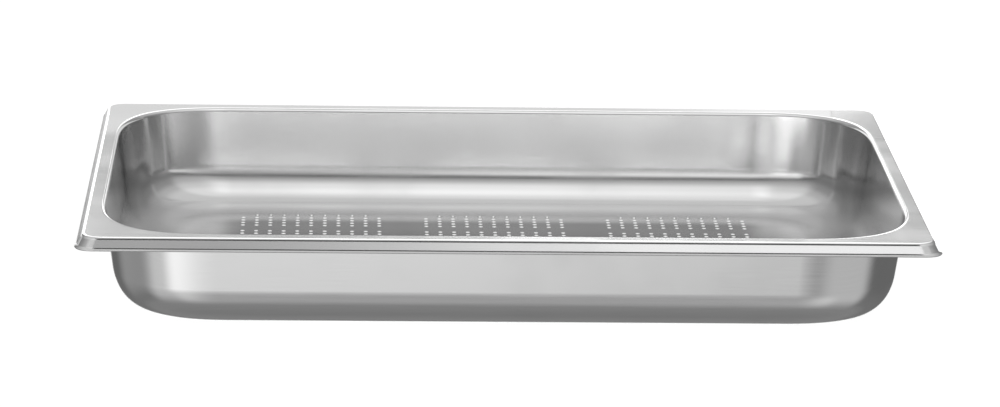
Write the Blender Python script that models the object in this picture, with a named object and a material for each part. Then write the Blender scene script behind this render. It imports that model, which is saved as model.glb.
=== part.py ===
"""A perforated gastronorm food pan: one rectangular stainless tray, deep drawn from one sheet.

The pan is a single pressing, so it is a single object. Its sheet runs from the flat floor, through
a wide fillet, up a slightly sloping wall, over the lip of the opening onto a flat flange, down a
steep skirt, and out again to a narrow edge. Three groups of drain holes are punched in the floor.

Units are metres, +Z is up, and X is the long way. The origin is at the centre of the underside.
"""

import math

import bmesh
import bpy
import numpy as np

# Driving dimensions: gastronorm size 1/1, 65 mm deep.
LENGTH = 0.530
WIDTH = 0.325
HEIGHT = 0.065
SHEET = 0.0008

# The wall, measured on its outer face, and the fillet between it and the floor.
WALL_INSET = 0.0145  # from the outline to the wall, at the height of the flange
WALL_SLOPE = math.radians(7.0)  # from the vertical
FLOOR_FILLET = 0.0312  # outer radius of the arc that the fillet would be without its easing

# The flange round the opening, and the skirt that stiffens its edge.
OPENING_BEND = 0.0028
FLANGE_INSET = 0.0065  # from the outline to the outer limit of the flat flange
FLANGE_BEND = 0.0030
SKIRT_SLOPE = math.radians(62.0)  # below the horizontal
CREASE_INSET = 0.0015
CREASE_BEND = 0.0024
EDGE_SLOPE = math.radians(31.0)  # below the horizontal

# How far each corner of the plan outline reaches along its sides, as (inset, reach).
CORNER_REACHES = (
    (0.0, 0.0130),
    (FLANGE_INSET, 0.0115),
    (0.0131, 0.0725),
    (WALL_INSET, 0.0715),
    (0.0475, 0.0475),
)

# Drawn bends run into the flat sheet smoothly: 0 is a plain arc, 1 starts with no curvature at all.
CORNER_EASE = 0.6
FILLET_EASE = 0.35
CURVE_SAMPLES = 400

# Drain holes: groups along X, and in each group columns along X and strips of rows along Y.
HOLE_DIAMETER = 0.0030
HOLE_SIDES = 6
GROUP_PITCH = 0.1225
GROUPS = 3
COLUMN_PITCH = 0.0091
COLUMNS = 11
ROW_PITCH = 0.00585
ROWS = 5
OUTER_STRIP_Y = 0.0980  # centre of the strip of rows next to a long wall

# Facets: steps along each bend of the section, and along each corner of the outline.
FILLET_STEPS = 8
OPENING_STEPS = 4
FLANGE_STEPS = 3
CREASE_STEPS = 2
CORNER_STEPS = 8


def eased_bend(turn, steps, ease):
    """Return a bend's headings and points, starting from the origin along +x, evenly in heading.

    The points are scaled so that the bend's two straight runs would meet one unit from its ends.
    """
    share = np.linspace(0.0, 1.0, CURVE_SAMPLES + 1)
    headings = abs(turn) * (share - ease * np.sin(2 * math.pi * share) / (2 * math.pi))
    middles = (headings[1:] + headings[:-1]) / 2
    along = np.concatenate(([0.0], np.cumsum(np.cos(middles))))
    aside = np.concatenate(([0.0], np.cumsum(np.sin(middles))))
    reach = aside[-1] / math.sin(abs(turn))
    even = abs(turn) * np.arange(steps + 1) / steps
    side = math.copysign(1.0, turn)
    points = np.column_stack((np.interp(even, headings, along),
                              side * np.interp(even, headings, aside))) / reach
    return side * even, points


def rounded_path(corners, bends):
    """Follow straight runs joined by bends of (radius, steps, ease); give points and left normals."""
    points = []
    normals = []
    directions = [after - before for before, after in zip(corners, corners[1:])]
    directions = [direction / np.linalg.norm(direction) for direction in directions]
    lefts = [np.array((-direction[1], direction[0])) for direction in directions]
    for index, (radius, steps, ease) in enumerate(bends):
        arriving = directions[index]
        left = lefts[index]
        leaving = directions[index + 1]
        turn = math.atan2(left @ leaving, arriving @ leaving)
        reach = radius * math.tan(abs(turn) / 2)
        start = corners[index + 1] - arriving * reach
        for heading, (along, aside) in zip(*eased_bend(turn, steps, ease)):
            points.append(start + reach * (along * arriving + aside * left))
            normals.append(left * math.cos(heading) - arriving * math.sin(heading))
    points.append(corners[-1])
    normals.append(lefts[-1])
    return points, normals


def sheet_section():
    """Return the sheet's upper and lower faces as (outward, height) points, floor to edge.

    Outward is measured from the pan's outline, so it is negative over the whole pan.
    """
    wall_face = -WALL_INSET - SHEET / math.cos(WALL_SLOPE)

    def wall_at(height):
        return np.array((wall_face - (HEIGHT - height) * math.tan(WALL_SLOPE), height))

    turn = math.tan(SKIRT_SLOPE / 2)
    flange_corner = np.array((-FLANGE_INSET + FLANGE_BEND * turn, HEIGHT))
    skirt_run = -CREASE_INSET - flange_corner[0]
    crease = np.array((-CREASE_INSET, HEIGHT - skirt_run * math.tan(SKIRT_SLOPE)))
    edge = crease + CREASE_INSET * np.array((1.0, -math.tan(EDGE_SLOPE)))
    floor_corner = wall_at(SHEET)
    inner_fillet = FLOOR_FILLET - SHEET
    floor_run = inner_fillet * math.tan((math.pi / 2 - WALL_SLOPE) / 2)
    floor_edge = floor_corner - np.array((floor_run, 0.0))
    corners = [floor_edge, floor_corner, wall_at(HEIGHT), flange_corner, crease, edge]
    bends = (
        (inner_fillet, FILLET_STEPS, FILLET_EASE),
        (OPENING_BEND, OPENING_STEPS, 0.0),
        (FLANGE_BEND, FLANGE_STEPS, 0.0),
        (CREASE_BEND, CREASE_STEPS, 0.0),
    )
    upper, normals = rounded_path(corners, bends)
    lower = [point - SHEET * normal for point, normal in zip(upper, normals)]
    return upper, lower


def corner_reach(inset):
    """Return how far the outline's corners reach at a distance in from the pan's outline."""
    insets, reaches = zip(*CORNER_REACHES)
    return float(np.interp(inset, insets, reaches))


def outline(inset, height):
    """Return one ring of the pan: a rectangle with eased corners, anticlockwise from above."""
    reach = corner_reach(inset)
    centre_x = LENGTH / 2 - inset - reach
    centre_y = WIDTH / 2 - inset - reach
    points = eased_bend(math.pi / 2, CORNER_STEPS, CORNER_EASE)[1]
    ring = []
    for quarter, (sign_x, sign_y) in enumerate(((1, 1), (-1, 1), (-1, -1), (1, -1))):
        cosine = math.cos(math.pi / 2 * quarter)
        sine = math.sin(math.pi / 2 * quarter)
        for along, aside in points:
            ring.append((sign_x * centre_x + reach * ((1 - aside) * cosine - along * sine),
                         sign_y * centre_y + reach * ((1 - aside) * sine + along * cosine),
                         height))
    return ring


def sheet_mesh():
    """Build the pressed sheet as one closed body: its upper face, its cut edge and its lower face."""
    upper, lower = sheet_section()
    mesh = bpy.data.meshes.new("pan")
    build = bmesh.new()
    rings = []
    for outward, height in upper + lower[::-1]:
        rings.append([build.verts.new(point) for point in outline(-outward, height)])
    for inner, outer in zip(rings, rings[1:]):
        for index in range(len(inner)):
            after = (index + 1) % len(inner)
            build.faces.new((inner[index], outer[index], outer[after], inner[after]))
    build.faces.new(rings[0])
    build.faces.new(reversed(rings[-1]))
    build.to_mesh(mesh)
    build.free()
    mesh.shade_smooth()
    mesh.set_sharp_from_angle(angle=math.radians(40))
    return mesh


def hole_centres():
    """Return the drain holes of the outermost strips, beside the two long walls.

    Each group's corner holes are left out, because the floor's fillet comes close to them.
    """
    centres = []
    for side in (-1, 1):
        for group in range(GROUPS):
            group_x = (group - (GROUPS - 1) / 2) * GROUP_PITCH
            for column in range(COLUMNS):
                for row in range(ROWS):
                    outermost = row == ROWS - 1
                    if outermost and column in (0, COLUMNS - 1):
                        continue
                    x = group_x + (column - (COLUMNS - 1) / 2) * COLUMN_PITCH
                    y = side * (OUTER_STRIP_Y + (row - (ROWS - 1) / 2) * ROW_PITCH)
                    centres.append((x, y))
    return centres


def punch():
    """Build the punch: one prism through the floor for each drain hole."""
    mesh = bpy.data.meshes.new("punch")
    build = bmesh.new()
    reach = 3 * SHEET
    for x, y in hole_centres():
        rings = []
        for height in (-reach, SHEET + reach):
            ring = []
            for side in range(HOLE_SIDES):
                angle = 2 * math.pi * side / HOLE_SIDES
                across = HOLE_DIAMETER / 2
                ring.append(build.verts.new((x + across * math.cos(angle),
                                             y + across * math.sin(angle),
                                             height)))
            rings.append(ring)
        bottom, top = rings
        for side in range(HOLE_SIDES):
            after = (side + 1) % HOLE_SIDES
            build.faces.new((bottom[side], bottom[after], top[after], top[side]))
        build.faces.new(top)
        build.faces.new(reversed(bottom))
    build.to_mesh(mesh)
    build.free()
    cutter = bpy.data.objects.new("punch", mesh)
    cutter.hide_render = True
    cutter.display_type = "WIRE"
    bpy.context.scene.collection.objects.link(cutter)
    return cutter


def stainless_steel():
    """Satin stainless steel, as the sheet comes from the press."""
    material = bpy.data.materials.new("stainless_steel")
    material.use_nodes = True
    shader = material.node_tree.nodes["Principled BSDF"]
    shader.inputs["Base Color"].default_value = (0.78, 0.78, 0.78, 1.0)
    shader.inputs["Metallic"].default_value = 1.0
    shader.inputs["Roughness"].default_value = 0.25
    return material


def pan():
    """The whole pan: the pressed sheet with its drain holes punched through the floor."""
    body = bpy.data.objects.new("pan", sheet_mesh())
    body.data.materials.append(stainless_steel())
    bpy.context.scene.collection.objects.link(body)
    drain = body.modifiers.new("drain holes", "BOOLEAN")
    drain.operation = "DIFFERENCE"
    drain.solver = "EXACT"
    drain.object = punch()
    return body


def main():
    for old in list(bpy.data.objects):
        bpy.data.objects.remove(old, do_unlink=True)
    pan()


main()
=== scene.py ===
"""The finished look of the perforated food pan: its smooth sheet, its steel, the floor and the light.

The sheet follows the same driving dimensions as the CAD part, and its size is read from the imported
model. Units are metres, +Z is up, and the pan stands on z = 0 with the camera on its -Y side.
"""

import math

import bpy
import numpy as np
from mathutils import Matrix, Vector
from mathutils.geometry import delaunay_2d_cdt


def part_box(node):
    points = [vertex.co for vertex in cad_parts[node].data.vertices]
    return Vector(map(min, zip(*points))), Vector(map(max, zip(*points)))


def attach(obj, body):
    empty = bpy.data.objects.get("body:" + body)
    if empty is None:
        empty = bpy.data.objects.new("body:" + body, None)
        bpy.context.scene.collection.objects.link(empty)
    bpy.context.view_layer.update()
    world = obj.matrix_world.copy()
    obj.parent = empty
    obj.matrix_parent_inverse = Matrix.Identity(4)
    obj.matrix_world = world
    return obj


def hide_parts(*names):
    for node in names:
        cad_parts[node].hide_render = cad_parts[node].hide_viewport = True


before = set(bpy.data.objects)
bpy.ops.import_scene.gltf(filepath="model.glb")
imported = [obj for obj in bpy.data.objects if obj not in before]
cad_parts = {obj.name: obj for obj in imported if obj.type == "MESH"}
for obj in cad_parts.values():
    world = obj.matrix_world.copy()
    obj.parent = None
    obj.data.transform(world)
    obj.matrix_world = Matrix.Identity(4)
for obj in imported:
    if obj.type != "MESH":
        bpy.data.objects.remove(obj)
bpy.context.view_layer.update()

LOW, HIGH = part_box("pan")
LENGTH = HIGH[0] - LOW[0]
WIDTH = HIGH[1] - LOW[1]
HEIGHT = HIGH[2] - LOW[2]

# The pressed sheet. These are the CAD part's driving dimensions.
SHEET = 0.0008
WALL_INSET = 0.0145
WALL_SLOPE = math.radians(7.0)
FLOOR_FILLET = 0.0312
OPENING_BEND = 0.0028
FLANGE_INSET = 0.0065
FLANGE_BEND = 0.0030
SKIRT_SLOPE = math.radians(62.0)
CREASE_INSET = 0.0015
CREASE_BEND = 0.0024
EDGE_SLOPE = math.radians(31.0)
# Each corner is (inset from the pan's outline, how far along each side it reaches there).
CORNER_REACHES = (
    (0.0, 0.0130),
    (FLANGE_INSET, 0.0115),
    (0.0131, 0.0725),
    (WALL_INSET, 0.0715),
    (0.0475, 0.0475),
)
# How softly a bend's curvature starts and ends: 0 is a plain arc.
CORNER_EASE = 0.6
FILLET_EASE = 0.35
CURVE_SAMPLES = 400
EDGE_ROUND = 0.0002  # radius that breaks the cut edge
CREASE_WEAR = 0.3  # how bright the crease is worn, as a share of the other bends

# Drain holes, over the whole floor.
HOLE_DIAMETER = 0.0030
HOLE_SIDES = 16
HOLE_CHAMFER = 0.0001
GROUP_PITCH = 0.1225
GROUPS = 3
COLUMN_PITCH = 0.0091
COLUMNS = 11
ROW_PITCH = 0.00585
ROWS = 5
STRIP_CENTRES = (-0.0980, -0.0614, -0.0248, 0.0248, 0.0614, 0.0980)

# Fineness of the visible mesh.
FILLET_STEPS = 28
OPENING_STEPS = 10
FLANGE_STEPS = 8
CREASE_STEPS = 6
EDGE_STEPS = 3
CORNER_STEPS = 36
MERGE_NEARER = 1e-9  # metres, when the floor is filled with triangles


# ---------------------------------------------------------------- the sheet

def eased_bend(turn, steps, ease):
    """Return a bend's headings and points, starting from the origin along +x, evenly in heading.

    The points are scaled so that the bend's two straight runs would meet one unit from its ends.
    """
    share = np.linspace(0.0, 1.0, CURVE_SAMPLES + 1)
    headings = abs(turn) * (share - ease * np.sin(2 * math.pi * share) / (2 * math.pi))
    middles = (headings[1:] + headings[:-1]) / 2
    along = np.concatenate(([0.0], np.cumsum(np.cos(middles))))
    aside = np.concatenate(([0.0], np.cumsum(np.sin(middles))))
    reach = aside[-1] / math.sin(abs(turn))
    even = abs(turn) * np.arange(steps + 1) / steps
    side = math.copysign(1.0, turn)
    points = np.column_stack((np.interp(even, headings, along),
                              side * np.interp(even, headings, aside))) / reach
    return side * even, points


def rounded_path(corners, bends):
    """Follow straight runs joined by bends of (radius, steps, ease, wear).

    Each entry of the path is a point, the direction of travel there, and how worn the sheet is.
    """
    path = []
    directions = [after - before for before, after in zip(corners, corners[1:])]
    directions = [direction / np.linalg.norm(direction) for direction in directions]
    for index, (radius, steps, ease, wear) in enumerate(bends):
        arriving = directions[index]
        left = left_of(arriving)
        leaving = directions[index + 1]
        turn = math.atan2(left @ leaving, arriving @ leaving)
        reach = radius * math.tan(abs(turn) / 2)
        start = corners[index + 1] - arriving * reach
        headings, points = eased_bend(turn, steps, ease)
        for step, (heading, (along, aside)) in enumerate(zip(headings, points)):
            place = start + reach * (along * arriving + aside * left)
            direction = arriving * math.cos(heading) + left * math.sin(heading)
            path.append((place, direction, wear * math.sin(math.pi * step / steps)))
    path.append((corners[-1], directions[-1], 0.0))
    return path


def left_of(direction):
    """Return the direction turned a quarter turn to the left."""
    return np.array((-direction[1], direction[0]))


def turned(direction, angle):
    """Return the direction turned to the left by an angle."""
    return direction * math.cos(angle) + left_of(direction) * math.sin(angle)


def sheet_section():
    """Return the closed section from the floor's upper edge, round the cut edge, to its lower edge.

    Each entry is an (outward, height) point, the direction of travel there, and the wear. Outward is
    measured from the pan's outline, so it is negative over the whole pan.
    """
    wall_face = -WALL_INSET - SHEET / math.cos(WALL_SLOPE)

    def wall_at(height):
        return np.array((wall_face - (HEIGHT - height) * math.tan(WALL_SLOPE), height))

    flange_corner = np.array((-FLANGE_INSET + FLANGE_BEND * math.tan(SKIRT_SLOPE / 2), HEIGHT))
    skirt_run = -CREASE_INSET - flange_corner[0]
    crease = np.array((-CREASE_INSET, HEIGHT - skirt_run * math.tan(SKIRT_SLOPE)))
    edge = crease + CREASE_INSET * np.array((1.0, -math.tan(EDGE_SLOPE)))
    floor_corner = wall_at(SHEET)
    inner_fillet = FLOOR_FILLET - SHEET
    floor_run = inner_fillet * math.tan((math.pi / 2 - WALL_SLOPE) / 2)
    floor_edge = floor_corner - np.array((floor_run, 0.0))
    corners = [floor_edge, floor_corner, wall_at(HEIGHT), flange_corner, crease, edge]
    bends = (
        (inner_fillet, FILLET_STEPS, FILLET_EASE, 0.0),
        (OPENING_BEND, OPENING_STEPS, 0.0, 1.0),
        (FLANGE_BEND, FLANGE_STEPS, 0.0, 1.0),
        (CREASE_BEND, CREASE_STEPS, 0.0, CREASE_WEAR),
    )
    upper = rounded_path(corners, bends)
    lower = [(point - SHEET * left_of(direction), -direction, 0.0)
             for point, direction, wear in upper]

    tip, heading, _ = upper[-1]
    upper_round = tip - EDGE_ROUND * (heading + left_of(heading))
    lower_round = lower[-1][0] - EDGE_ROUND * (heading - left_of(heading))
    rim = []
    for quarter, centre in enumerate((upper_round, lower_round)):
        for step in range(EDGE_STEPS + 1):
            direction = turned(heading, -math.pi / 2 * (quarter + step / EDGE_STEPS))
            rim.append((centre + EDGE_ROUND * left_of(direction), direction, 1.0))
    return upper[:-1] + rim + lower[-2::-1]


def corner_reach(inset):
    """Return how far the outline's corners reach, and how fast that grows with the inset."""
    insets, reaches = zip(*CORNER_REACHES)
    growth = 0.0
    for index in range(len(insets) - 1):
        if insets[index] <= inset < insets[index + 1]:
            growth = (reaches[index + 1] - reaches[index]) / (insets[index + 1] - insets[index])
    return float(np.interp(inset, insets, reaches)), growth


def ring_at(point, direction):
    """Return one ring of the sheet and its normals, anticlockwise from above."""
    inset = -point[0]
    reach, growth = corner_reach(inset)
    centre_x = LENGTH / 2 - inset - reach
    centre_y = WIDTH / 2 - inset - reach
    headings, points = eased_bend(math.pi / 2, CORNER_STEPS, CORNER_EASE)
    places = []
    normals = []
    for quarter, (sign_x, sign_y) in enumerate(((1, 1), (-1, 1), (-1, -1), (1, -1))):
        spin = Matrix.Rotation(math.pi / 2 * quarter, 3, "Z")
        middle = Vector((sign_x, sign_y, 0.0))
        for heading, (along, aside) in zip(headings, points):
            bow = spin @ Vector((1 - aside, along, 0.0))
            places.append((sign_x * centre_x + reach * bow.x,
                           sign_y * centre_y + reach * bow.y,
                           point[1]))
            outward = middle * (1 + growth) - bow * growth
            across = outward * float(direction[0]) + Vector((0.0, 0.0, float(direction[1])))
            around = spin @ Vector((-math.sin(heading), math.cos(heading), 0.0))
            normals.append(across.cross(around).normalized())
    return places, normals


class Skin:
    """Gathers the sheet's points and faces, with a normal for each corner of each face."""

    def __init__(self):
        self.points = []
        self.wear = []
        self.faces = []
        self.normals = []

    def add(self, places, wear):
        """Add points that are worn alike, and return their numbers."""
        start = len(self.points)
        self.points.extend(places)
        self.wear.extend([wear] * len(places))
        return list(range(start, len(self.points)))

    def face(self, corners, normals):
        """Add a face, anticlockwise from outside the metal."""
        self.faces.append(tuple(corners))
        self.normals.extend(tuple(normal) for normal in normals)

    def band(self, first, first_normals, second, second_normals):
        """Join two rings of the same length with quads."""
        for index in range(len(first)):
            after = (index + 1) % len(first)
            self.face((first[index], second[index], second[after], first[after]),
                      (first_normals[index], second_normals[index],
                       second_normals[after], first_normals[after]))

    def mesh(self, name):
        """Return the mesh, with its wear as a point attribute."""
        mesh = bpy.data.meshes.new(name)
        mesh.from_pydata(self.points, [], self.faces)
        mesh.shade_smooth()
        mesh.normals_split_custom_set(self.normals)
        mesh.attributes.new("wear", "FLOAT", "POINT").data.foreach_set("value", self.wear)
        return mesh


def hole_centres():
    """Return every drain hole. Each group's corner holes are left out, beside the long walls."""
    centres = []
    last_strip = len(STRIP_CENTRES) - 1
    for strip, strip_y in enumerate(STRIP_CENTRES):
        for group in range(GROUPS):
            group_x = (group - (GROUPS - 1) / 2) * GROUP_PITCH
            for column in range(COLUMNS):
                for row in range(ROWS):
                    outermost = (strip, row) in ((0, 0), (last_strip, ROWS - 1))
                    if outermost and column in (0, COLUMNS - 1):
                        continue
                    x = group_x + (column - (COLUMNS - 1) / 2) * COLUMN_PITCH
                    y = strip_y + (row - (ROWS - 1) / 2) * ROW_PITCH
                    centres.append(Vector((x, y, 0.0)))
    return centres


def drain_hole(skin, centre, spokes):
    """Line one hole: a straight wall and a broken upper edge. Return its upper and lower rings."""
    radius = HOLE_DIAMETER / 2
    rings = []
    for across, height, wear in ((radius, 0.0, 0.0),
                                 (radius, SHEET - HOLE_CHAMFER, 0.0),
                                 (radius + HOLE_CHAMFER, SHEET, 1.0)):
        lift = Vector((0.0, 0.0, height))
        rings.append(skin.add([tuple(centre + spoke * across + lift) for spoke in spokes], wear))
    bottom, waist, top = rings
    inward = [-spoke for spoke in spokes]
    sloping = [(normal + Vector((0.0, 0.0, 1.0))).normalized() for normal in inward]
    skin.band(bottom, inward, waist, inward)
    skin.band(waist, sloping, top, sloping)
    return top, bottom


def perforated_face(skin, outline, rings, facing):
    """Fill the floor's outline with triangles, and leave the holes open.

    Facing is 1 for a face that looks up, and -1 for one that looks down.
    """
    loops = [outline] + rings
    order = [number for loop in loops for number in loop]
    loop_of = {number: index for index, loop in enumerate(loops) for number in loop}
    flat = [Vector(skin.points[number][:2]) for number in order]
    edges = []
    start = 0
    for loop in loops:
        count = len(loop)
        edges.extend((start + index, start + (index + 1) % count) for index in range(count))
        start += count
    whole_hull = 0
    _, _, triangles, sources, _, _ = delaunay_2d_cdt(flat, edges, [], whole_hull, MERGE_NEARER)
    normal = Vector((0.0, 0.0, facing))
    for triangle in triangles:
        corners = [order[sources[index][0]] for index in triangle]
        owners = {loop_of[number] for number in corners}
        inside_a_hole = len(owners) == 1 and 0 not in owners
        if inside_a_hole:
            continue
        first, second, third = (Vector(skin.points[number][:2]) for number in corners)
        if (second - first).cross(third - first) * facing < 0:
            corners.reverse()
        skin.face(corners, [normal] * len(corners))


def pan_sheet():
    """Build the whole pressed and punched sheet as one closed piece."""
    skin = Skin()
    rings = []
    for point, direction, wear in sheet_section():
        places, normals = ring_at(point, direction)
        rings.append((skin.add(places, wear), normals))
    for (inner, inner_normals), (outer, outer_normals) in zip(rings, rings[1:]):
        skin.band(inner, inner_normals, outer, outer_normals)
    spokes = []
    for side in range(HOLE_SIDES):
        angle = 2 * math.pi * side / HOLE_SIDES
        spokes.append(Vector((math.cos(angle), math.sin(angle), 0.0)))
    holes = [drain_hole(skin, centre, spokes) for centre in hole_centres()]
    perforated_face(skin, rings[0][0], [top for top, bottom in holes], 1.0)
    perforated_face(skin, rings[-1][0], [bottom for top, bottom in holes], -1.0)
    piece = bpy.data.objects.new("pan_sheet", skin.mesh("pan_sheet"))
    bpy.context.scene.collection.objects.link(piece)
    return piece


# ---------------------------------------------------------------- node trees

class Tree:
    """Adds nodes to a node tree, by plain calls that can be chained."""

    def __init__(self, owner):
        owner.use_nodes = True
        self.nodes = owner.node_tree.nodes
        self.links = owner.node_tree.links

    def feed(self, socket, value):
        """Link an output to a socket, or set the socket to a plain value."""
        if isinstance(value, bpy.types.NodeSocket):
            self.links.new(value, socket)
        else:
            socket.default_value = value

    def math(self, operation, *values):
        """Return a maths node's result."""
        node = self.nodes.new("ShaderNodeMath")
        node.operation = operation
        for socket, value in zip(node.inputs, values):
            self.feed(socket, value)
        return node.outputs["Value"]

    def ramp(self, value, low, high, at_low, at_high):
        """Return a value that eases from at_low to at_high while the input goes from low to high."""
        node = self.nodes.new("ShaderNodeMapRange")
        node.interpolation_type = "SMOOTHSTEP"
        for name, number in (("Value", value), ("From Min", low), ("From Max", high),
                             ("To Min", at_low), ("To Max", at_high)):
            self.feed(node.inputs[name], number)
        return node.outputs["Result"]

    def noise(self, place, scale, detail):
        """Return noise whose scale along each axis is in features per metre."""
        stretch = self.nodes.new("ShaderNodeMapping")
        stretch.inputs["Scale"].default_value = scale
        self.feed(stretch.inputs["Vector"], place)
        node = self.nodes.new("ShaderNodeTexNoise")
        node.inputs["Scale"].default_value = 1.0
        node.inputs["Detail"].default_value = detail
        self.feed(node.inputs["Vector"], stretch.outputs["Vector"])
        return node.outputs["Fac"]

    def grey(self, value):
        """Return the grey of a brightness."""
        node = self.nodes.new("ShaderNodeCombineColor")
        for channel in node.inputs:
            self.links.new(value, channel)
        return node.outputs["Color"]

    def attribute(self, name):
        """Return a point attribute of the mesh."""
        node = self.nodes.new("ShaderNodeAttribute")
        node.attribute_name = name
        return node.outputs["Fac"]


# ---------------------------------------------------------------- the steel

STEEL_BRIGHTNESS = 0.72
STEEL_ROUGHNESS = 0.16

# Grain, as a fine noise. Noise is between 0 and 1, and its middle stretch makes the whole change.
GRAIN_LENGTH = 25.0  # features per metre along the grain
GRAIN_FINENESS = 1400.0  # and across it
GRAIN_DETAIL = 2.0
GRAIN_FROM, GRAIN_TO = 0.3, 0.7
GRAIN_ROUGHNESS = 0.02  # more or less
GRAIN_BRIGHTNESS = 0.01  # more or less
GRAIN_BUMP = 0.02  # strength of its bump
GRAIN_HEIGHT = 0.00001

# Smudges, from handling.
SMUDGES = 16.0  # features per metre
SMUDGE_DETAIL = 4.0
SMUDGE_ROUGH_FROM, SMUDGE_ROUGH_TO = 0.4, 0.75
SMUDGE_SMOOTHER, SMUDGE_ROUGHER = -0.01, 0.05
SMUDGE_DARK_FROM, SMUDGE_DARK_TO = 0.45, 0.8
SMUDGE_DARKER = 0.04

# Waves, left in the sheet by the press.
WAVES = 9.0  # features per metre
WAVE_DETAIL = 1.0
WAVE_HEIGHT = 0.00006

# Bends and hole edges, polished by wear.
WEAR_SMOOTHER = 0.02
WEAR_BRIGHTER = 0.03

# The flat floor: rougher than the drawn walls, and with painted shade that darkens its colour and its
# glancing reflection.
FLOOR_EDGE = 0.0525  # from the outline to where the floor's roughness and painted shade start
FLOOR_INSET = 0.0745  # and to where it is full, beside the long walls
FLOOR_END_INSET = 0.1100  # and beside the short ones
FLOOR_TOP_FROM = 1.5 * SHEET  # height to which it is full
FLOOR_TOP_TO = 3 * SHEET  # and where it ends
FLOOR_LEVEL = 0.5  # how far a face looks up, for it to be floor and not the wall of a hole
FLOOR_ROUGHER = 0.06
FLOOR_SHADE_BRIGHTNESS = 0.75  # painted shade: the floor's colour, as a share of the walls'
FLOOR_SHADE_GLANCING = 0.34  # painted shade: its glancing reflection, as a share of clean steel's


def satin_steel():
    """Satin stainless steel: faint lengthwise grain, smudges, bright worn bends, a rougher floor with
    painted shade.
    """
    material = bpy.data.materials.new("satin_stainless")
    tree = Tree(material)
    shader = tree.nodes["Principled BSDF"]
    shader.inputs["Metallic"].default_value = 1.0
    where = tree.nodes.new("ShaderNodeTexCoord").outputs["Object"]
    split = tree.nodes.new("ShaderNodeSeparateXYZ")
    tree.links.new(where, split.inputs["Vector"])

    grain = tree.noise(rolled_place(tree, split), (GRAIN_LENGTH, GRAIN_FINENESS, GRAIN_LENGTH),
                       GRAIN_DETAIL)
    smudges = tree.noise(where, (SMUDGES, SMUDGES, SMUDGES), SMUDGE_DETAIL)
    waves = tree.noise(where, (WAVES, WAVES, WAVES), WAVE_DETAIL)
    worn = tree.attribute("wear")
    on_floor = floor_share(tree, split)

    roughness = tree.ramp(grain, GRAIN_FROM, GRAIN_TO,
                          STEEL_ROUGHNESS - GRAIN_ROUGHNESS, STEEL_ROUGHNESS + GRAIN_ROUGHNESS)
    smudged = tree.ramp(smudges, SMUDGE_ROUGH_FROM, SMUDGE_ROUGH_TO,
                        SMUDGE_SMOOTHER, SMUDGE_ROUGHER)
    roughness = tree.math("ADD", roughness, smudged)
    roughness = tree.math("ADD", roughness, tree.math("MULTIPLY", on_floor, FLOOR_ROUGHER))
    roughness = tree.math("SUBTRACT", roughness, tree.math("MULTIPLY", worn, WEAR_SMOOTHER))
    tree.links.new(roughness, shader.inputs["Roughness"])

    brightness = tree.ramp(grain, GRAIN_FROM, GRAIN_TO,
                           STEEL_BRIGHTNESS - GRAIN_BRIGHTNESS, STEEL_BRIGHTNESS + GRAIN_BRIGHTNESS)
    smudged = tree.ramp(smudges, SMUDGE_DARK_FROM, SMUDGE_DARK_TO, 0.0, SMUDGE_DARKER)
    brightness = tree.math("SUBTRACT", brightness, smudged)
    brightness = tree.math("ADD", brightness, tree.math("MULTIPLY", worn, WEAR_BRIGHTER))
    # Painted shade: the flat floor's colour and glancing reflection are darkened.
    painted_floor_shade = tree.ramp(on_floor, 0.0, 1.0, 1.0, FLOOR_SHADE_BRIGHTNESS)
    brightness = tree.math("MULTIPLY", brightness, painted_floor_shade)
    tree.links.new(tree.grey(brightness), shader.inputs["Base Color"])
    glancing = tree.ramp(on_floor, 0.0, 1.0, 1.0, FLOOR_SHADE_GLANCING)
    tree.links.new(tree.grey(glancing), shader.inputs["Specular Tint"])

    swell = tree.nodes.new("ShaderNodeBump")
    swell.inputs["Distance"].default_value = WAVE_HEIGHT
    tree.links.new(waves, swell.inputs["Height"])
    fine = tree.nodes.new("ShaderNodeBump")
    fine.inputs["Strength"].default_value = GRAIN_BUMP
    fine.inputs["Distance"].default_value = GRAIN_HEIGHT
    tree.links.new(grain, fine.inputs["Height"])
    tree.links.new(swell.outputs["Normal"], fine.inputs["Normal"])
    tree.links.new(fine.outputs["Normal"], shader.inputs["Normal"])
    return material


def rolled_place(tree, split):
    """Return the place on the flat sheet before pressing, where the grain runs along X."""
    off_centre = tree.math("ABSOLUTE", split.outputs["Y"])
    long_wall = WIDTH / 2 - WALL_INSET - FLOOR_FILLET
    on_wall = tree.ramp(off_centre, long_wall, WIDTH / 2 - WALL_INSET, 0.0, 1.0)
    raised = tree.math("MULTIPLY", split.outputs["Z"], on_wall)
    place = tree.nodes.new("ShaderNodeCombineXYZ")
    tree.links.new(split.outputs["X"], place.inputs["X"])
    tree.links.new(tree.math("ADD", split.outputs["Y"], raised), place.inputs["Y"])
    return place.outputs["Vector"]


def floor_share(tree, split):
    """Return 1 on the flat floor and 0 off it, with a soft change between them."""
    share = 1.0
    for axis, half, inset in (("X", LENGTH / 2, FLOOR_END_INSET), ("Y", WIDTH / 2, FLOOR_INSET)):
        off_centre = tree.math("ABSOLUTE", split.outputs[axis])
        inside = tree.ramp(off_centre, half - inset, half - FLOOR_EDGE, 1.0, 0.0)
        share = tree.math("MULTIPLY", share, inside)
    low_down = tree.ramp(split.outputs["Z"], FLOOR_TOP_FROM, FLOOR_TOP_TO, 1.0, 0.0)
    facing = tree.nodes.new("ShaderNodeSeparateXYZ")
    tree.links.new(tree.nodes.new("ShaderNodeNewGeometry").outputs["True Normal"],
                   facing.inputs["Vector"])
    level = tree.math("GREATER_THAN", tree.math("ABSOLUTE", facing.outputs["Z"]), FLOOR_LEVEL)
    return tree.math("MULTIPLY", tree.math("MULTIPLY", share, low_down), level)


# ---------------------------------------------------------------- the studio

FLOOR_DROP = 0.0002  # below the pan's underside
FLOOR_HALF = 6.0
FLOOR_GREY = 0.12  # its own colour, under the glow
FLOOR_GLOW = 0.97


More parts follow.
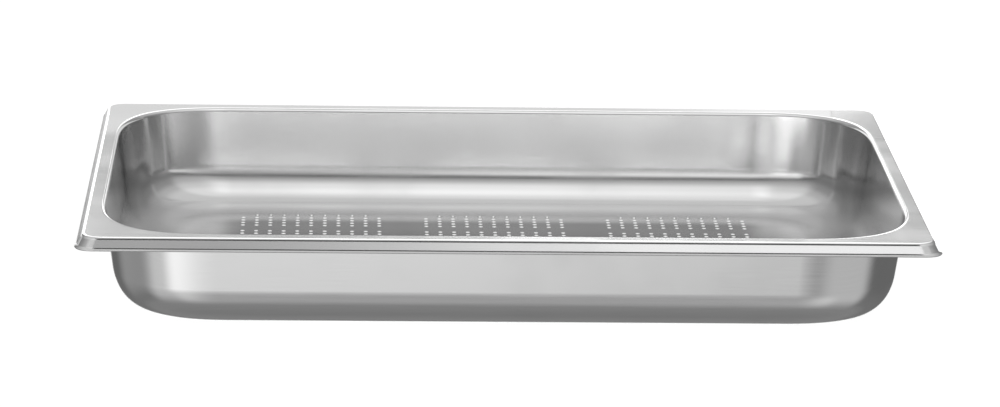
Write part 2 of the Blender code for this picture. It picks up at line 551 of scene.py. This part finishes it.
def floor():
    """A plain floor that glows white, so that it stays pale all round the pan."""
    half = FLOOR_HALF
    mesh = bpy.data.meshes.new("floor")
    corners = [(-half, -half, 0.0), (half, -half, 0.0), (half, half, 0.0), (-half, half, 0.0)]
    mesh.from_pydata(corners, [], [(0, 1, 2, 3)])
    plane = bpy.data.objects.new("floor", mesh)
    plane.location.z = -FLOOR_DROP
    bpy.context.scene.collection.objects.link(plane)
    material = bpy.data.materials.new("white_floor")
    shader = Tree(material).nodes["Principled BSDF"]
    shader.inputs["Base Color"].default_value = (FLOOR_GREY, FLOOR_GREY, FLOOR_GREY, 1.0)
    shader.inputs["Roughness"].default_value = 1.0
    shader.inputs["Specular IOR Level"].default_value = 0.0
    shader.inputs["Emission Color"].default_value = (1.0, 1.0, 1.0, 1.0)
    shader.inputs["Emission Strength"].default_value = FLOOR_GLOW
    mesh.materials.append(material)
    plane.visible_glossy = False


# Brightness of the studio round the pan, by elevation in degrees.
SKY = (
    (-90, 0.25),
    (-60, 0.28),
    (-45, 0.21),
    (-25, 0.17),
    (-5, 0.05),
    (10, 0.20),
    (28, 0.33),
    (45, 0.55),
    (62, 0.75),
    (90, 0.75),
)

# Soft panels in front of the pan, and behind it. Angles are in degrees. Azimuth is 0 straight out,
# along -Y in front and along +Y behind, and grows towards +X. Half sizes and soft edges are
# (across, upwards). A panel adds brightness to the sky; a dark one takes it away.
FRONT_PANELS = (
    {"azimuth": -40, "elevation": -27, "half": (26, 24), "soft": (14, 11), "adds": 0.40},
    {"azimuth": -13, "elevation": -14, "half": (23, 19), "soft": (8, 9), "adds": 1.12},
    {"azimuth": -47, "elevation": -16, "half": (13, 17), "soft": (9, 9), "adds": 0.22},
    {"azimuth": 46, "elevation": -23, "half": (29, 28), "soft": (12, 12), "adds": 0.42},
    {"azimuth": 2, "elevation": -46, "half": (30, 8), "soft": (10, 6), "adds": 0.24},
    {"azimuth": -22, "elevation": 53, "half": (33, 28), "soft": (12, 10), "adds": 0.25},
    {"azimuth": 3, "elevation": 53, "half": (6, 19), "soft": (5, 8), "adds": 0.35},
    {"azimuth": 31, "elevation": 55, "half": (24, 34), "soft": (8, 8), "adds": 0.22},
    {"azimuth": -97, "elevation": -17, "half": (31, 19), "soft": (15, 14), "adds": 0.20},
    {"azimuth": -18, "elevation": 5, "half": (14, 9), "soft": (3, 4), "adds": 1.70},
    {"azimuth": 15, "elevation": 12, "half": (14, 4), "soft": (4, 3), "adds": 0.40},
)
BACK_PANELS = (
    {"azimuth": 2, "elevation": -21, "half": (14, 21), "soft": (4, 6), "adds": 1.20},
    {"azimuth": -13, "elevation": 4, "half": (17, 9), "soft": (2, 3), "adds": 0.95},
    {"azimuth": -11, "elevation": 20, "half": (6, 11), "soft": (1.5, 3), "adds": 1.50},
    {"azimuth": 28, "elevation": 0, "half": (23, 10), "soft": (7, 4), "adds": 1.75},
    {"azimuth": 5, "elevation": 44, "half": (13, 20), "soft": (5, 5), "adds": 1.20},
    {"azimuth": 4.5, "elevation": 8, "half": (2.5, 5.5), "soft": (1.5, 1), "adds": 2.30},
    {"azimuth": 4.5, "elevation": 27, "half": (2.5, 9), "soft": (1.5, 3), "adds": 2.10},
    {"azimuth": -29, "elevation": 12, "half": (23, 8), "soft": (3, 4), "adds": 0.60},
    {"azimuth": -23, "elevation": 13, "half": (6, 8), "soft": (2, 4), "adds": -0.60},
    {"azimuth": -3, "elevation": 6, "half": (4, 6), "soft": (1, 2), "adds": -0.60},
    {"azimuth": 3, "elevation": 25, "half": (13, 9), "soft": (4, 2), "adds": 0.40},
)
DARKEST = 0.02  # where dark panels meet


def soft_band(tree, value, centre, half, edge, strength):
    """Return strength within half of centre, easing to nothing across the soft edge."""
    away = tree.math("ABSOLUTE", tree.math("SUBTRACT", value, centre))
    return tree.ramp(away, half - edge, half + edge, strength, 0.0)


def studio_light():
    """A photographer's light tent: dim at the sides, pale above, with soft panels round it."""
    world = bpy.data.worlds.new("studio")
    bpy.context.scene.world = world
    tree = Tree(world)
    split = tree.nodes.new("ShaderNodeSeparateXYZ")
    generated = tree.nodes.new("ShaderNodeTexCoord").outputs["Generated"]
    tree.links.new(generated, split.inputs["Vector"])
    x, y, z = split.outputs
    elevation = tree.math("DEGREES", tree.math("ARCSINE", z))
    ahead = tree.math("DEGREES", tree.math("ARCTAN2", x, tree.math("MULTIPLY", y, -1.0)))
    behind = tree.math("DEGREES", tree.math("ARCTAN2", x, y))

    total = SKY[0][1]
    for (low, before), (high, after) in zip(SKY, SKY[1:]):
        total = tree.math("ADD", total, tree.ramp(elevation, low, high, 0.0, after - before))
    for around, panels in ((ahead, FRONT_PANELS), (behind, BACK_PANELS)):
        for panel in panels:
            half_width, half_height = panel["half"]
            side_edge, top_edge = panel["soft"]
            across = soft_band(tree, around, panel["azimuth"], half_width, side_edge, 1.0)
            upright = soft_band(tree, elevation, panel["elevation"], half_height, top_edge,
                                panel["adds"])
            total = tree.math("ADD", total, tree.math("MULTIPLY", across, upright))
    background = tree.nodes["Background"]
    background.inputs["Color"].default_value = (1.0, 1.0, 1.0, 1.0)
    tree.links.new(tree.math("MAXIMUM", total, DARKEST), background.inputs["Strength"])


# ---------------------------------------------------------------- the cards

def glowing_card(name, corners, seen_by_camera=False):
    """Add a card that only reflections see, and the camera if wanted.

    Return its node tree, and the socket for its brightness.
    """
    mesh = bpy.data.meshes.new(name)
    mesh.from_pydata(corners, [], [(0, 1, 2, 3)])
    card = bpy.data.objects.new(name, mesh)
    bpy.context.scene.collection.objects.link(card)
    material = bpy.data.materials.new(name + "_light")
    tree = Tree(material)
    tree.nodes.remove(tree.nodes["Principled BSDF"])
    glow = tree.nodes.new("ShaderNodeEmission")
    tree.links.new(glow.outputs["Emission"], tree.nodes["Material Output"].inputs["Surface"])
    mesh.materials.append(material)
    card.visible_diffuse = False
    card.visible_shadow = False
    card.visible_camera = seen_by_camera
    return tree, glow.inputs["Strength"]


def upright_card(name, left, right, y, foot, top):
    """Add an upright card that runs along X."""
    return glowing_card(name, [(left, y, foot), (right, y, foot), (right, y, top), (left, y, top)])


def grade(tree, strength, dim_until, bright_from, dim, bright):
    """Make a card brighter towards the right."""
    split = tree.nodes.new("ShaderNodeSeparateXYZ")
    where = tree.nodes.new("ShaderNodeTexCoord").outputs["Object"]
    tree.links.new(where, split.inputs["Vector"])
    tree.links.new(tree.ramp(split.outputs["X"], dim_until, bright_from, dim, bright), strength)


PAPER_INSET = 0.0540  # from the pan's outline
PAPER_BRIGHTNESS = 1.1


def paper():
    """White paper under the drain holes, so that they shine."""
    x = LENGTH / 2 - PAPER_INSET
    y = WIDTH / 2 - PAPER_INSET
    z = -FLOOR_DROP / 2
    _, strength = glowing_card("paper", [(-x, -y, z), (x, -y, z), (x, y, z), (-x, y, z)],
                               seen_by_camera=True)
    strength.default_value = PAPER_BRIGHTNESS


CARD_AHEAD = 0.040  # in front of the pan
CARD_FOOT = 0.082
CARD_TOP = 0.112
CARD_DIM = 0.50
CARD_BRIGHT = 1.18
CARD_DIM_UNTIL = -0.20
CARD_BRIGHT_FROM = 0.12


def reflector_card():
    """A card close before the front skirt, as long as the pan."""
    tree, strength = upright_card("card", LOW[0], HIGH[0], LOW[1] - CARD_AHEAD,
                                  CARD_FOOT, CARD_TOP)
    grade(tree, strength, CARD_DIM_UNTIL, CARD_BRIGHT_FROM, CARD_DIM, CARD_BRIGHT)


REAR_BEHIND = 0.018  # behind the pan
REAR_SHORT = 0.030  # of the pan's right end
REAR_FOOT = 0.066
REAR_TOP = 0.092
REAR_DIM = 0.85
REAR_BRIGHT = 1.12
REAR_DIM_UNTIL = 0.08
REAR_BRIGHT_FROM = 0.20


def rear_card():
    """A low card close behind the pan, which the back flange reflects."""
    tree, strength = upright_card("rear_card", LOW[0], HIGH[0] - REAR_SHORT,
                                  HIGH[1] + REAR_BEHIND, REAR_FOOT, REAR_TOP)
    grade(tree, strength, REAR_DIM_UNTIL, REAR_BRIGHT_FROM, REAR_DIM, REAR_BRIGHT)


FLAG_NEAR = -0.005  # in front of the pan, so this edge is over it
FLAG_FAR = 0.060
FLAG_HEIGHT = 0.140
FLAG_BRIGHTNESS = 0.10


def dark_flag():
    """A dark card above the front edge, which draws the dark lines along the skirt's bends."""
    near = LOW[1] - FLAG_NEAR
    far = LOW[1] - FLAG_FAR
    _, strength = glowing_card("flag", [
        (LOW[0], far, FLAG_HEIGHT), (HIGH[0], far, FLAG_HEIGHT),
        (HIGH[0], near, FLAG_HEIGHT), (LOW[0], near, FLAG_HEIGHT)])
    strength.default_value = FLAG_BRIGHTNESS


STRIP_BEHIND = 0.018  # behind the pan
STRIP_LEFT = -0.15
STRIP_RIGHT = 0.22
STRIP_FOOT = 0.140
STRIP_TOP = 0.185
STRIP_BRIGHTNESS = 0.50


def grey_strip():
    """A grey strip behind the pan, which the middle of the front flange reflects."""
    _, strength = upright_card("strip", STRIP_LEFT, STRIP_RIGHT, HIGH[1] + STRIP_BEHIND,
                               STRIP_FOOT, STRIP_TOP)
    strength.default_value = STRIP_BRIGHTNESS


# ---------------------------------------------------------------- the camera

CAMERA_PLACE = Vector((-0.1082, -2.509, 0.7764))
CAMERA_YAW = 0.0430  # radians, towards +X
CAMERA_PITCH = 0.2844  # radians, downwards
CAMERA_ROLL = 0.0201  # radians
CAMERA_LENS = 145.8  # millimetres
SENSOR_WIDTH = 36.0  # millimetres


def camera():
    """A long lens, nearly square on to the pan's long side and a little above it."""
    data = bpy.data.cameras.new("camera")
    data.sensor_width = SENSOR_WIDTH
    data.lens = CAMERA_LENS
    eye = bpy.data.objects.new("camera", data)
    bpy.context.scene.collection.objects.link(eye)
    turn = (Matrix.Rotation(-CAMERA_YAW, 4, "Z")
            @ Matrix.Rotation(math.pi / 2 - CAMERA_PITCH, 4, "X")
            @ Matrix.Rotation(CAMERA_ROLL, 4, "Z"))
    eye.matrix_world = Matrix.Translation(CAMERA_PLACE) @ turn
    bpy.context.scene.camera = eye


# ---------------------------------------------------------------- the scene

sheet = pan_sheet()
sheet.data.materials.append(satin_steel())
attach(sheet, "root")
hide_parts("pan")
floor()
studio_light()
paper()
reflector_card()
rear_card()
dark_flag()
grey_strip()
camera()
bpy.context.scene.view_settings.view_transform = "Standard"
